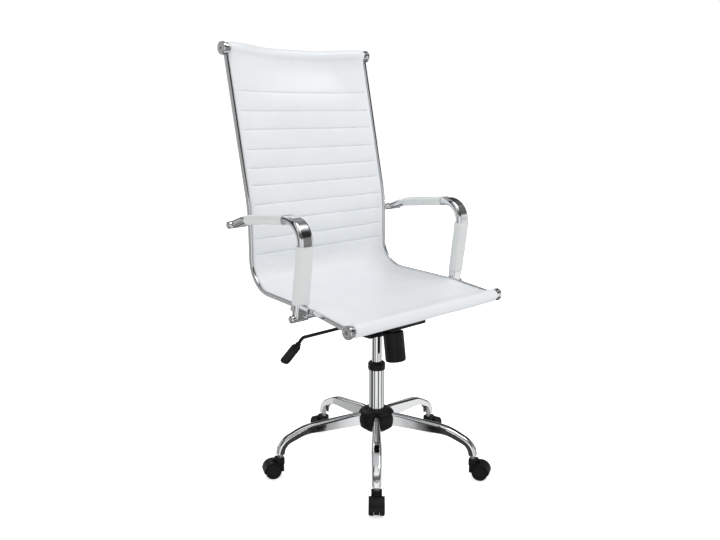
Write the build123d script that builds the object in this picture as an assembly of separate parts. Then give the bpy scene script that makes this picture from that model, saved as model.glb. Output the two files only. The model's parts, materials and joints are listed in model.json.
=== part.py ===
"""High-back sling office chair on a gas lift and a five-leg base with twin-wheel casters.

Millimetres. +Z is up, the sitter faces -Y, and the origin is on the floor under the column axis.
Every piece is a solid of its own, written to parts/NODE.step.
"""
import os
from math import atan2, cos, degrees, radians, sin, sqrt, tan

from build123d import *

# ---- driving dimensions -------------------------------------------------------------------------
# side rails: centre line in the YZ plane, from the top tube to the front tube
BACK_TOP = (288.0, 1046.0)
LUMBAR = (206.0, 660.0)
SEAT_BACK = (204.0, 470.0)
SEAT_MID = (-50.0, 455.0)
SEAT_FRONT = (-172.0, 437.0)
LUMBAR_R = 350.0
SEAT_BEND_R = 75.0
KNEE_R = 300.0
BACK_HALF = 231.5
FRONT_HALF = 253.5
RAIL_W = 7.0
RAIL_D = 12.0
RAIL_ROUND = 2.6
EYE_R = 13.0
EYE_T = 9.0

# cross tubes, their bow and their caps
TUBE_R = 12.5
TUBE_WALL = 2.0
TUBE_PLUG = 14.0
TUBE_GAP = 0.2
TOP_BOW = 34.0
BOW_STRAIGHT = 190.0
BOW_FLAT = 85.0
BOW_RADII = [170, 260, 260, 170]
CAP_R = 16.0
CAP_T = 6.8
CAP_ROUND = 2.2
CAP_RECESS = 5.0
SCREW_R = 3.0
SCREW_HEAD_R = 5.4
SCREW_HEAD_T = 4.5
SCREW_REACH = 15.0
KEY_R = 2.6

# sling
SLING_T = 8.0
SLING_SKIN = 3.2
SLING_GAP = 0.3
EDGE_GAP = 0.5
HEAD_PANEL = 100.0

# arms
ARM_X = 270.0
ARM_W = 40.0
ARM_T = 18.0
ARM_WALL = 1.5
ARM_REAR = (204.7, 632.0)
ARM_REAR_BEND = (160.0, 647.7)
ARM_ELBOW = (-54.5, 668.0)
ARM_FOOT = (-24.0, 443.7)
ARM_REAR_R = 30.0
ARM_ELBOW_R = 48.0
SLEEVE_T = 2.0
SLEEVE_FIT = 0.1
PAD_FRONT_Y = 13.0
PAD_REAR_Y = 148.0
POST_LOW_Z = 478.0
POST_HIGH_Z = 608.0

# rods under the seat
ROD_R = 6.5
REAR_ROD_Y = 38.0
ROD_END = 291.0
STUD_R = 5.0
STUD_THREAD_R = 3.0
SPACER_R = 8.0
DOME_R = 9.0
DOME_T = 7.0
DOME_ROUND = 4.5
WASHER_R = 6.5
BUTTON_R = 4.6
BUTTON_X = 11.0
BOLT_X = 68.0
BOLT_R = 2.5
BOLT_HEAD_R = 5.0
BOLT_HEAD_T = 4.0

# tilt mechanism
PIVOT = (-40.0, 418.0)
HOUSING_HALF = 48.0
HOUSING_WALL = 2.5
PIVOT_R = 6.0
PLATE_T = 3.0
PLATE_HALF = 85.0
PLATE_FRONT = 44.0
PLATE_REAR = 40.0
PLATE_ROUND = 12.0
EAR_GAP = 2.5
SOCKET_OUT_R = 19.0
KNOB_Y = -67.0
KNOB_Z = 292.0
KNOB_H = 80.0
KNOB_R = 25.5
KNOB_LEAN = 8.0
KNOB_GAP = 6.0
KNOB_WALL = 3.0
KNOB_FLOOR = 8.0
KNOB_WAIST = 35.0
FLUTES = 24
BOSS_R = 18.0
BOSS_TOP = 93.0
BOSS_LOW = 75.5
TENSION_R = 5.0
SPRING_R = 14.0
SPRING_WIRE_R = 2.4
SPRING_PITCH = 8.0
SPRING_TURNS = 6
LEVER_Z = 387.0
LEVER_R = 4.0
LEVER_IN_X = 8.0
LEVER_BEND_X = -243.0
LEVER_BEND_R = 16.0
LEVER_END = (-267.0, 0, 361.0)
LEVER_PIN_X = -52.0
LEVER_PIN_R = 1.5
LEVER_PIN_HALF = 7.4
BUSH_R = 8.0
BUSH_BORE_R = 5.4
BUSH_FLANGE_R = 10.5

# gas lift and column
CYL_R = 13.0
CYL_WALL = 2.5
CYL_LOW = 163.5
CYL_TOP = 378.0
SOCKET_LOW = 345.0
TAPER_LOW_R = 12.8
TAPER_TOP_R = 11.4
VALVE_R = 3.0
COLUMN_R = 20.0
COLUMN_WALL = 2.0
COLUMN_LOW = 92.0
COLUMN_FLOOR = 3.0
COLUMN_TOP = 256.0
COLLAR_TOP = 277.0
COLLAR_R = 21.9
COLLAR_ROUND = 7.0
PISTON_R = 4.0
PISTON_LENGTH = 136.0
PISTON_HEAD_AT = 124.0
PISTON_HEAD_T = 8.0
WASHER_T = 1.5
BALL_R = 2.0
BALLS = 8
FIT = 0.05

# base
HUB_R = 27.0
HUB_LOW = 95.0
HUB_TOP = 150.0
LEG_ANGLE = -45.0
STEM_AT = 252.0
LEG_LOW = 60.0
LEG_SHEET = 2.0
SOCKET_R = 7.4
SOCKET_TOP = 78.0
COVER_R = 47.5
COVER_LOW = 100.0
COVER_TOP = 152.5
SLOT_HALF = 9.0
SLOT_LOW = 108.0
SLOT_TOP = 144.0

# casters
WHEEL_R = 20.0
WHEEL_W = 11.5
WHEEL_GAP = 14.0
TRAIL = 20.0
STEM_R = 5.5
AXLE_R = 3.0
AXLE_COVER = 3.0
WHEEL_ROUND = 4.0
HOOD_TOP = 50.0
HOOD_GAP = 0.6
FENDER_IN = 20.8
FENDER_OUT = 23.4
STEM_LOW = 25.0
STEM_COLLAR_R = 7.5

CASTERS = 5


# ---- helpers ------------------------------------------------------------------------------------
def save(shape, node):
    """Write one node; several separate solids go into one compound."""
    if isinstance(shape, (list, tuple)):
        shape = Compound(children=list(shape))
    export_step(shape, f"parts/{node}.step")


def rod(start, end, radius):
    """Round bar between two points."""
    start, end = Vector(*start), Vector(*end)
    plane = Plane(origin=start, z_dir=(end - start).normalized())
    return Solid.make_cylinder(radius, (end - start).length, plane)


def ring(start, end, outer, inner):
    """Round tube between two points."""
    start, end = Vector(*start), Vector(*end)
    step = (end - start).normalized()
    return rod(start, end, outer) - rod(start - step, end + step, inner)


def box(low, high):
    """Box between two corners."""
    size = [b - a for a, b in zip(low, high)]
    middle = [(a + b) / 2 for a, b in zip(low, high)]
    return Pos(*middle) * Box(*size)


def rounded_path(points, radii):
    """Straight runs joined by tangent arcs, one radius for each inner point."""
    points = [Vector(*p) for p in points]
    edges = []
    last = points[0]
    for before, corner, after, radius in zip(points, points[1:], points[2:], radii):
        into = (corner - before).normalized()
        away = (after - corner).normalized()
        half_turn = radians(into.get_angle(away)) / 2
        reach = radius * tan(half_turn)
        start = corner - into * reach
        end = corner + away * reach
        inward = (away - into).normalized()
        middle = corner + inward * (radius / cos(half_turn) - radius)
        edges.append(Edge.make_line(last, start))
        edges.append(Edge.make_three_point_arc(start, middle, end))
        last = end
    edges.append(Edge.make_line(last, points[-1]))
    return Wire(edges)


def section_at(path, sketch, x_dir):
    """Place a flat sketch across the start of a path."""
    plane = Plane(origin=path @ 0, x_dir=x_dir, z_dir=path % 0)
    return plane * sketch


def swept(path, sketch, x_dir):
    """Sweep a sketch along a path."""
    return sweep(section_at(path, sketch, x_dir), path=path)


def yz(points, x=0.0):
    """Points of the YZ plane at one X."""
    return [(x, y, z) for y, z in points]


def prism_x(outline, low, high):
    """Extrude a YZ outline from X = low to X = high."""
    face = make_face(Polyline(*yz(outline, low), close=True))
    return extrude(face, amount=high - low, dir=(1, 0, 0))


def polar(radius, angle, z):
    """Point at a radius and an angle counted from -Y towards +X."""
    return Vector(radius * sin(radians(angle)), -radius * cos(radians(angle)), z)


def leg_angle(index):
    return LEG_ANGLE + 360.0 / CASTERS * index


# ---- side rails ---------------------------------------------------------------------------------
RAIL_YZ = [BACK_TOP, LUMBAR, SEAT_BACK, SEAT_MID, SEAT_FRONT]
RAIL_RADII = [LUMBAR_R, SEAT_BEND_R, KNEE_R]


def flare(y):
    """Half distance between the rails: constant behind the seat, wider towards the front."""
    along = (SEAT_BACK[0] - y) / (SEAT_BACK[0] - SEAT_FRONT[0])
    return BACK_HALF + (FRONT_HALF - BACK_HALF) * max(0.0, along)


def rail_height(y):
    """Height of the seat part of the rail's centre line."""
    along = (y - SEAT_MID[0]) / (SEAT_BACK[0] - SEAT_MID[0])
    return SEAT_MID[1] + along * (SEAT_BACK[1] - SEAT_MID[1])


def side_rail(side):
    halves = [BACK_HALF, BACK_HALF] + [flare(y) for y, _ in RAIL_YZ[2:]]
    points = [(side * half, y, z) for half, (y, z) in zip(halves, RAIL_YZ)]
    path = rounded_path(points, RAIL_RADII)
    rail = swept(path, RectangleRounded(RAIL_W, RAIL_D, RAIL_ROUND), (1, 0, 0))
    for half, (y, z) in ((BACK_HALF, BACK_TOP), (FRONT_HALF, SEAT_FRONT)):
        inner, outer = side * (half - EYE_T / 2), side * (half + EYE_T / 2)
        rail += rod((inner, y, z), (outer, y, z), EYE_R)
        rail -= rod((inner - side, y, z), (outer + side, y, z), SCREW_R + TUBE_GAP)
    inner, outer = side * (BACK_HALF - RAIL_W), side * (BACK_HALF + RAIL_W)
    return rail - rod((inner, *ARM_REAR), (outer, *ARM_REAR), STUD_THREAD_R)


# ---- cross tubes, caps and screws ---------------------------------------------------------------
BACK_LEAN = atan2(BACK_TOP[0] - LUMBAR[0], BACK_TOP[1] - LUMBAR[1])
TOP_REACH = BACK_HALF - EYE_T / 2 - TUBE_GAP
FRONT_REACH = FRONT_HALF - EYE_T / 2 - TUBE_GAP


def top_point(x, bow):
    """Point of the top tube's centre line, bowed away from the sitter, square to the back."""
    return (x, BACK_TOP[0] + bow * cos(BACK_LEAN), BACK_TOP[1] - bow * sin(BACK_LEAN))


def top_path(reach=TOP_REACH):
    points = [
        top_point(-reach, 0),
        top_point(-BOW_STRAIGHT, 0),
        top_point(-BOW_FLAT, TOP_BOW),
        top_point(BOW_FLAT, TOP_BOW),
        top_point(BOW_STRAIGHT, 0),
        top_point(reach, 0),
    ]
    return rounded_path(points, BOW_RADII)


def front_path(reach=FRONT_REACH):
    return Wire([Edge.make_line((-reach, *SEAT_FRONT), (reach, *SEAT_FRONT))])


def cross_tube(path, reach, centre):
    """Hollow tube with a drilled plug in each end."""
    tube = swept(path, Circle(TUBE_R), (0, 0, 1)) - swept(path, Circle(TUBE_R - TUBE_WALL), (0, 0, 1))
    for side in (-1, 1):
        end = (side * reach, *centre)
        deep = (side * (reach - TUBE_PLUG), *centre)
        tube += ring(deep, end, TUBE_R - TUBE_WALL / 2, SCREW_R)
    return tube


def cap_and_screw(side, half, centre):
    """Turned end cap outside the rail, and the socket screw that holds it."""
    inner = side * (half + EYE_T / 2 + TUBE_GAP)
    outer = inner + side * CAP_T

    def at(depth):
        """Point on the axis, a depth inside the cap's face."""
        return (outer - side * depth, *centre)

    cap = rod((inner, *centre), at(0), CAP_R)
    cap = fillet(cap.edges().group_by(Axis.X)[-1 if side > 0 else 0], CAP_ROUND)
    cap -= ring(at(1.2), at(-1), CAP_R - 4, CAP_R - 6)
    cap -= rod(at(CAP_RECESS), at(-1), SCREW_HEAD_R + TUBE_GAP)
    cap -= rod((inner - side, *centre), at(-1), SCREW_R + TUBE_GAP)
    seat = CAP_RECESS - 0.1
    top = seat - SCREW_HEAD_T
    screw = rod(at(seat), at(top), SCREW_HEAD_R)
    screw += rod(at(seat), (side * (half - SCREW_REACH), *centre), SCREW_R - FIT)
    key_plane = Plane(origin=at(top), x_dir=(0, 1, 0), z_dir=(-side, 0, 0))
    return cap, screw - extrude(key_plane * RegularPolygon(KEY_R, 6), amount=KEY_R)


# ---- sling --------------------------------------------------------------------------------------
def back_point(below_top):
    """Point of the back's centre line, a distance below the top tube."""
    return (BACK_TOP[0] - below_top * sin(BACK_LEAN), BACK_TOP[1] - below_top * cos(BACK_LEAN))


def head_section(below_top, bow):
    """Closed outline of the sling across the back, bowed away from the sitter."""
    y, z = back_point(below_top)
    half = BACK_HALF - EYE_T / 2 - EDGE_GAP

    def at(x, depth):
        return (x, y + depth * cos(BACK_LEAN), z - depth * sin(BACK_LEAN))

    near, far = -SLING_T / 2, SLING_T / 2
    return Wire(
        [
            Edge.make_three_point_arc(at(-half, near), at(0, near + bow), at(half, near)),
            Edge.make_line(at(half, near), at(half, far)),
            Edge.make_three_point_arc(at(half, far), at(0, far + bow), at(-half, far)),
            Edge.make_line(at(-half, far), at(-half, near)),
        ]
    )


def sling():
    """One band from the front tube to the top tube, wrapped round both."""
    start = back_point(HEAD_PANEL)
    ribbon_points = [start, LUMBAR, SEAT_BACK, SEAT_MID, SEAT_FRONT]
    path = rounded_path(yz(ribbon_points), RAIL_RADII)
    band = swept(path, Rectangle(2 * FRONT_HALF + CAP_R, SLING_T), (1, 0, 0))
    rear, front = BACK_TOP[0] + 2 * TUBE_R, SEAT_FRONT[0] - 2 * TUBE_R
    edge = EYE_T / 2 + EDGE_GAP
    right_side = [(flare(y) - edge, y) for y in (rear, SEAT_BACK[0], front)]
    left_side = [(-x, y) for x, y in reversed(right_side)]
    plan = make_face(Polyline(*right_side, *left_side, close=True))
    band = band & extrude(plan, amount=BACK_TOP[1])
    head = Solid.make_loft([head_section(HEAD_PANEL, 0.4), head_section(0, TOP_BOW)], ruled=True)
    hollow_r = TUBE_R + SLING_GAP
    shell = band + head
    for path_to, reach in ((top_path, TOP_REACH), (front_path, FRONT_REACH)):
        shell += swept(path_to(reach - EDGE_GAP), Circle(hollow_r + SLING_SKIN), (0, 0, 1))
    for path_to, reach in ((top_path, TOP_REACH), (front_path, FRONT_REACH)):
        shell -= swept(path_to(reach + EYE_T), Circle(hollow_r), (0, 0, 1))
    return shell


# ---- arms ---------------------------------------------------------------------------------------
def arm_path(side):
    """Centre line from the rear stud over the elbow to the cross rod."""
    points = yz([ARM_REAR, ARM_REAR_BEND, ARM_ELBOW, ARM_FOOT], side * ARM_X)
    return rounded_path(points, [ARM_REAR_R, ARM_ELBOW_R])


def arm_section(grow):
    return RectangleRounded(ARM_W + 2 * grow, ARM_T + 2 * grow, ARM_T / 2 + grow - 0.6)


def arm(side):
    """Bent flat-oval tube with a closed round eye at each end."""
    path = arm_path(side)
    body = swept(path, arm_section(0), (1, 0, 0)) - swept(path, arm_section(-ARM_WALL), (1, 0, 0))
    low, high = side * ARM_X - ARM_W / 2, side * ARM_X + ARM_W / 2
    for end, pin_r in ((ARM_REAR, STUD_R), (ARM_FOOT, ROD_R)):
        body += rod((low, *end), (high, *end), ARM_T / 2)
        body -= rod((low - 1, *end), (high + 1, *end), pin_r + FIT)
    return body


def between(start, end, fraction):
    return tuple(a + (b - a) * fraction for a, b in zip(start, end))


def straight_sleeve(side, start, end):
    """Stitched cover round a straight stretch of arm."""
    path = Wire([Edge.make_line(*yz([start, end], side * ARM_X))])
    outside = swept(path, arm_section(SLEEVE_FIT + SLEEVE_T), (1, 0, 0))
    return outside - swept(path, arm_section(SLEEVE_FIT), (1, 0, 0))


def on_line(start, end, value, axis):
    """Point of a line where one coordinate has a value."""
    fraction = (value - start[axis]) / (end[axis] - start[axis])
    return between(start, end, fraction)


def armrest_pad(side):
    rear = on_line(ARM_REAR_BEND, ARM_ELBOW, PAD_REAR_Y, 0)
    front = on_line(ARM_REAR_BEND, ARM_ELBOW, PAD_FRONT_Y, 0)
    return straight_sleeve(side, rear, front)


def post_sleeve(side):
    high = on_line(ARM_ELBOW, ARM_FOOT, POST_HIGH_Z, 1)
    low = on_line(ARM_ELBOW, ARM_FOOT, POST_LOW_Z, 1)
    return straight_sleeve(side, high, low)


def dome_cap(side, centre):
    """Domed cap on the end of a rod or stud."""
    x = side * (ROD_END + 0.1)
    cap = rod((x, *centre), (x + side * DOME_T, *centre), DOME_R)
    return fillet(cap.edges().group_by(Axis.X)[-1 if side > 0 else 0], DOME_ROUND)


def arm_stud(side):
    """Stud through the rail with a spacer shoulder and a shank through the arm's rear eye."""
    rail_out = side * (BACK_HALF + RAIL_W / 2 + 0.2)
    arm_in = side * (ARM_X - ARM_W / 2 - 0.2)
    stud = rod((side * (BACK_HALF - RAIL_W / 2), *ARM_REAR), (rail_out, *ARM_REAR), STUD_THREAD_R - FIT)
    stud += rod((rail_out, *ARM_REAR), (arm_in, *ARM_REAR), SPACER_R)
    return stud + rod((arm_in, *ARM_REAR), (side * ROD_END, *ARM_REAR), STUD_R)


def arm_screw(side):
    """Button-head screw and washer on the front of the arm's foot, beside the rod."""
    x = side * (ARM_X - BUTTON_X)
    y, z = ARM_FOOT[0] - ARM_T / 2 - 1.5, ARM_FOOT[1] + 2
    washer = rod((x, y, z), (x, y - 1.4, z), WASHER_R)
    head = rod((x, y - 1.4, z), (x, y - 4.4, z), BUTTON_R)
    return washer + fillet(head.edges().group_by(Axis.Y)[0], 1.6)


# ---- rods, plate and bolts under the seat -------------------------------------------------------
def rod_centre(y):
    return rail_height(y) - RAIL_D / 2 - ROD_R - 0.4


FRONT_ROD = ARM_FOOT
REAR_ROD = (REAR_ROD_Y, rod_centre(REAR_ROD_Y))
PLATE_TILT = degrees(atan2(REAR_ROD[1] - FRONT_ROD[1], REAR_ROD[0] - FRONT_ROD[0]))
PLATE_FRAME = Pos(0, FRONT_ROD[0], FRONT_ROD[1]) * Rot(X=PLATE_TILT)
ROD_SPAN = sqrt((REAR_ROD[0] - FRONT_ROD[0]) ** 2 + (REAR_ROD[1] - FRONT_ROD[1]) ** 2)


def bolt_hole(side, centre, top, radius):
    """Drill from far below a rod up to a height over its centre."""
    x, (y, z) = side * BOLT_X, centre
    return rod((x, y, z - 3 * ROD_R), (x, y, z + top), radius)


def cross_rod(centre, reach):
    """Round bar drilled for the plate bolts."""
    bar = rod((-reach, *centre), (reach, *centre), ROD_R)
    for side in (-1, 1):
        bar -= bolt_hole(side, centre, 3, BOLT_R + 0.1)
    return bar


def plate_ear(side):
    """Ear of the seat plate, drilled for the pivot shaft."""
    hang = FRONT_ROD[1] - ROD_R - PLATE_T
    low = PIVOT[1] - PIVOT_R - 3
    inner = side * (HOUSING_HALF + EAR_GAP)
    low_x, high_x = sorted((inner, inner + side * PLATE_T))
    outline = [(-62, hang + 0.6), (-18, hang + 1.6), (-29, low), (-51, low)]
    return prism_x(outline, low_x, high_x) - rod((low_x - 1, *PIVOT), (high_x + 1, *PIVOT), PIVOT_R + FIT)


def seat_plate():
    """Pressed plate under the rods, with two ears that hang on the pivot shaft."""
    top = -ROD_R - 0.1
    plate = box((-PLATE_HALF, -PLATE_FRONT, top - PLATE_T), (PLATE_HALF, ROD_SPAN + PLATE_REAR, top))
    plate = PLATE_FRAME * fillet(plate.edges().filter_by(Axis.Z), PLATE_ROUND)
    for side in (-1, 1):
        plate += plate_ear(side)
        for centre in (FRONT_ROD, REAR_ROD):
            plate -= bolt_hole(side, centre, 0, BOLT_R + 0.7)
    return plate


def frame_bolts():
    """Four bolts that clamp the plate to the rods."""
    bolts = []
    for side in (-1, 1):
        for y, z in (FRONT_ROD, REAR_ROD):
            x = side * BOLT_X
            under = z - ROD_R - PLATE_T - 0.7
            hexagon = Pos(x, y, under - BOLT_HEAD_T) * RegularPolygon(BOLT_HEAD_R, 6)
            shank = rod((x, y, under), (x, y, z + 2), BOLT_R)
            bolts.append(extrude(hexagon, amount=BOLT_HEAD_T) + shank)
    return bolts


# ---- tilt mechanism -----------------------------------------------------------------------------
KNOB_FRAME = Pos(0, KNOB_Y, KNOB_Z) * Rot(X=-KNOB_LEAN)

# side view of the pan and of its inside, which is open at the top
HOUSING_OUTLINE = [
    (-120, 422), (-55, 428), (-25, 428), (50, 412), (50, 386),
    (27, 349), (-24, 349), (-31, 372), (-120, 391),
]
HOUSING_CAVITY = [
    (-117.5, 440), (47.5, 440), (47.5, 386.6), (25.6, 351.5), (-22.2, 351.5), (-29, 374.1),
    (-117.5, 392.9),
]


def knob_part(radius, low, high):
    """Round bar on the knob's axis between two heights above the knob's foot."""
    return KNOB_FRAME * Solid.make_cylinder(radius, high - low, Plane.XY.offset(low))


def mechanism_housing():
    """Open pressed pan with the cone socket, holes for shaft and lever, and a boss for the screw."""
    inside = HOUSING_HALF - HOUSING_WALL
    shell = prism_x(HOUSING_OUTLINE, -HOUSING_HALF, HOUSING_HALF)
    shell -= prism_x(HOUSING_CAVITY, -inside, inside)
    shell += knob_part(BOSS_R, BOSS_LOW, BOSS_TOP)
    depth = CYL_TOP - SOCKET_LOW
    shell += Solid.make_cylinder(SOCKET_OUT_R, depth - 3, Plane.XY.offset(SOCKET_LOW))
    taper_plane = Plane.XY.offset(SOCKET_LOW - 0.01)
    shell -= Solid.make_cone(TAPER_LOW_R + FIT, TAPER_TOP_R + FIT, depth, taper_plane)
    edge = HOUSING_HALF + 1
    shell -= rod((-edge, *PIVOT), (edge, *PIVOT), PIVOT_R + 0.02)
    shell -= rod((-edge, 0, LEVER_Z), (-inside + BUSH_R, 0, LEVER_Z), BUSH_R + 0.1)
    return shell - knob_part(TENSION_R + 1, BOSS_LOW - 10, BOSS_TOP + 10)


def pivot_shaft():
    reach = HOUSING_HALF + 8.5
    shaft = rod((-reach, *PIVOT), (reach, *PIVOT), PIVOT_R)
    for side in (-1, 1):
        x = side * (reach - 1.8)
        shaft -= ring((x - 0.5, *PIVOT), (x + 0.5, *PIVOT), PIVOT_R + 1, PIVOT_R - 0.8)
    return shaft


def tension_knob():
    """Deep round knob, hollow for the spring, with a waist line and grip flutes."""
    knob = Solid.make_cylinder(KNOB_R, KNOB_H - KNOB_GAP)
    knob = fillet(knob.edges().group_by(Axis.Z)[0], 5)
    knob -= Pos(0, 0, KNOB_WAIST) * (Cylinder(KNOB_R + 2, 1.6) - Cylinder(KNOB_R - 1.2, 1.6))
    grip = KNOB_WAIST - 9
    for index in range(FLUTES):
        flute = Pos(KNOB_R + 1.1, 0, 6 + grip / 2) * Cylinder(1.9, grip)
        knob -= Rot(Z=360 / FLUTES * index) * flute
    knob -= Solid.make_cylinder(KNOB_R - KNOB_WALL, KNOB_H, Plane.XY.offset(KNOB_FLOOR))
    knob -= Solid.make_cylinder(TENSION_R + FIT, 2 * KNOB_FLOOR, Plane.XY.offset(-1))
    return KNOB_FRAME * knob


def tension_screw():
    return knob_part(TENSION_R, 2.5, KNOB_H + 14.5)


def tilt_spring():
    """Compression spring round the screw, inside the knob."""
    helix = Helix(pitch=SPRING_PITCH, height=SPRING_TURNS * SPRING_PITCH, radius=SPRING_R)
    wire = Plane(origin=helix @ 0, z_dir=helix % 0) * Circle(SPRING_WIRE_R)
    return KNOB_FRAME * (Pos(0, 0, KNOB_FLOOR + 3.5) * sweep(wire, path=helix))


def lever_pin(radius, half):
    """Cross pin on which the lever tips in its bush."""
    return rod((LEVER_PIN_X, -half, LEVER_Z), (LEVER_PIN_X, half, LEVER_Z), radius)


def lever_bush():
    """Sliding bush in the housing wall; it carries the lever and locks the tilt."""
    out_x = LEVER_PIN_X - BUSH_R
    bush = ring((out_x, 0, LEVER_Z), (LEVER_PIN_X + BUSH_R, 0, LEVER_Z), BUSH_R, BUSH_BORE_R)
    bush += ring((out_x, 0, LEVER_Z), (out_x + 3, 0, LEVER_Z), BUSH_FLANGE_R, BUSH_BORE_R)
    return bush - lever_pin(LEVER_PIN_R + FIT, BUSH_FLANGE_R + 1)


def lever_rod():
    """Bent round wire from above the valve to the paddle, with its cross pin."""
    points = [(LEVER_IN_X, 0, LEVER_Z), (LEVER_BEND_X, 0, LEVER_Z), LEVER_END]
    wire = swept(rounded_path(points, [LEVER_BEND_R]), Circle(LEVER_R), (0, 1, 0))
    return wire + lever_pin(LEVER_PIN_R, LEVER_PIN_HALF)


def lever_paddle():
    """Flat grip with rounded edges, sloping down and outwards."""
    slope = 38.0
    grip = Pos(-30, 0, 0) * Box(54, 27, 8)
    grip = fillet(grip.edges().filter_by(Axis.Z), 8)
    grip = fillet(grip.edges().group_by(Axis.Z)[-1] + grip.edges().group_by(Axis.Z)[0], 2.6)
    neck = rod((2, 0, 0), (-20, 0, 0), 6.4)
    place = Pos(LEVER_BEND_X - 12, 0, LEVER_Z - 13) * Rot(Y=-slope)
    return place * (grip + neck) - rod((LEVER_BEND_X, 0, LEVER_Z), LEVER_END, LEVER_R + 0.02)


# ---- gas lift and column ------------------------------------------------------------------------
def upright(radius, low, high):
    """Round bar on the column axis between two heights."""
    return Solid.make_cylinder(radius, high - low, Plane.XY.offset(low))


def gas_cylinder():
    """Closed cylinder with a tapered top; its bottom cap slides on the piston rod."""
    body = upright(CYL_R, CYL_LOW, SOCKET_LOW)
    body += Solid.make_cone(TAPER_LOW_R, TAPER_TOP_R, CYL_TOP - SOCKET_LOW, Plane.XY.offset(SOCKET_LOW))
    body -= upright(CYL_R - CYL_WALL, CYL_LOW + 3, SOCKET_LOW - 5)
    body -= upright(PISTON_R + FIT, CYL_LOW - 1, CYL_LOW + 10)
    return body - upright(VALVE_R + FIT, SOCKET_LOW - 20, CYL_TOP + 20)


def valve_pin():
    return upright(VALVE_R, CYL_TOP - 30, CYL_TOP + 4.5)


def piston_rod():
    """Rod that stands on the column floor, with the piston head inside the cylinder."""
    low = COLUMN_LOW - 4
    head_low = COLUMN_LOW + PISTON_HEAD_AT
    head = upright(CYL_R - CYL_WALL - 0.1, head_low, head_low + PISTON_HEAD_T)
    return upright(PISTON_R, low, low + PISTON_LENGTH) + head


def thrust_bearing():
    """Two washers and a ring of balls between them."""
    low = COLUMN_LOW + COLUMN_FLOOR + 0.1
    high = low + WASHER_T + 2 * BALL_R + 0.2
    washers = [ring((0, 0, z), (0, 0, z + WASHER_T), 10, PISTON_R + FIT) for z in (low, high)]
    middle = (low + WASHER_T + high) / 2
    return washers + [Pos(*polar(7.2, 360 / BALLS * i, middle)) * Sphere(BALL_R) for i in range(BALLS)]


def column_tube():
    tube = ring((0, 0, COLUMN_LOW), (0, 0, COLUMN_TOP), COLUMN_R, COLUMN_R - COLUMN_WALL)
    floor_top = COLUMN_LOW + COLUMN_FLOOR
    return tube + ring((0, 0, COLUMN_LOW), (0, 0, floor_top), COLUMN_R - 1, PISTON_R + 0.1)


def column_bush():
    """Guide bush with a rounded collar that sits on the column."""
    guide = upright(COLUMN_R - COLUMN_WALL - FIT, COLUMN_TOP - 59, COLUMN_TOP + 1)
    collar = upright(COLLAR_R, COLUMN_TOP + 0.1, COLLAR_TOP)
    collar = fillet(collar.edges().group_by(Axis.Z)[-1], COLLAR_ROUND)
    collar = chamfer(collar.edges().group_by(Axis.Z)[0], 1.2)
    return guide + collar - upright(CYL_R + FIT, COLUMN_TOP - 70, COLLAR_TOP + 10)


# ---- base ---------------------------------------------------------------------------------------
# side view of a leg, radius from the column against height: its crown and its lower edge
LEG_CROWN = [(20, 143.5), (60, 143.5), (190, 126.5), (256, 92), (261.5, LEG_LOW)]
LEG_CROWN_RADII = [200, 140, 55]
LEG_UNDER = [(243.5, LEG_LOW), (239, 83), (186, 107.5), (20, 113)]
LEG_UNDER_RADII = [30, 80]
LEG_PLAN = [(10, 7.3), (185, 12), (275, 10.5)]
LEG_ROUND = 6.6
CROWN_NEAR = 14.0


def inset_line(points, distance):
    """Move an open line of points to its right-hand side by a distance."""
    moved = []
    for index, (x, z) in enumerate(points):
        before = points[max(index - 1, 0)]
        after = points[min(index + 1, len(points) - 1)]
        first = atan2(z - before[1], x - before[0]) if index else None
        second = atan2(after[1] - z, after[0] - x) if index < len(points) - 1 else first
        first = second if first is None else first
        middle = (first + second) / 2
        reach = distance / cos((second - first) / 2)
        moved.append((x + reach * sin(middle), z - reach * cos(middle)))
    return moved


def leg_skin(inset):
    """Prism of the leg's side view with a rounded crown; the inset one is open below."""
    crown = [(x, 0, z) for x, z in inset_line(LEG_CROWN, inset)]
    top = rounded_path(crown, [r - inset for r in LEG_CROWN_RADII])
    if inset:
        under = Polyline(crown[-1], (crown[-1][0], 0, 40), (10, 0, 40), crown[0])
    else:
        low = [(x, 0, z) for x, z in LEG_UNDER]
        under = Wire(
            [
                Edge.make_line(crown[-1], low[0]),
                *rounded_path(low, LEG_UNDER_RADII).edges(),
                Edge.make_line(low[-1], crown[0]),
            ]
        )
    side_view = make_face([*top.edges(), *under.edges()])
    prism = extrude(side_view, amount=40, dir=(0, 1, 0), both=True)
    wide = [(x, y - inset) for x, y in LEG_PLAN]
    plan = make_face(Polyline(*wide, *[(x, -y) for x, y in reversed(wide)], close=True))
    body = prism & extrude(plan, amount=200)
    crown_edges = [e for e in body.edges() if is_crown(e, inset)]
    return fillet(crown_edges, LEG_ROUND - inset)


def crown_height(x, inset):
    """Rough height of the crown's line above the floor at a radius."""
    points = inset_line(LEG_CROWN, inset)
    for (x0, z0), (x1, z1) in zip(points, points[1:]):
        if x0 <= x <= x1:
            return z0 + (z1 - z0) * (x - x0) / (x1 - x0)
    return points[-1][1]


def is_crown(edge, inset):
    """True for the long edges between the crown and the two sides."""
    middle = edge @ 0.5
    ends_apart = abs((edge @ 1).Y - (edge @ 0).Y)
    if abs(middle.Y) < 2 or edge.length < 4 or ends_apart > 0.5 * edge.length:
        return False
    return abs(middle.Z - crown_height(middle.X, inset)) < CROWN_NEAR and middle.Z > LEG_LOW + 1


def leg(index):
    """Stamped channel leg, open below, cut to the hub sleeve."""
    body = leg_skin(0) - leg_skin(LEG_SHEET)
    body = Rot(Z=leg_angle(index) - 90) * body
    foot = polar(STEM_AT, leg_angle(index), 0)
    room = Solid.make_cylinder(SOCKET_R + 0.1, SOCKET_TOP, Plane(origin=foot))
    return body - upright(HUB_R + FIT, 0, 2 * HUB_TOP) - room


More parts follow.
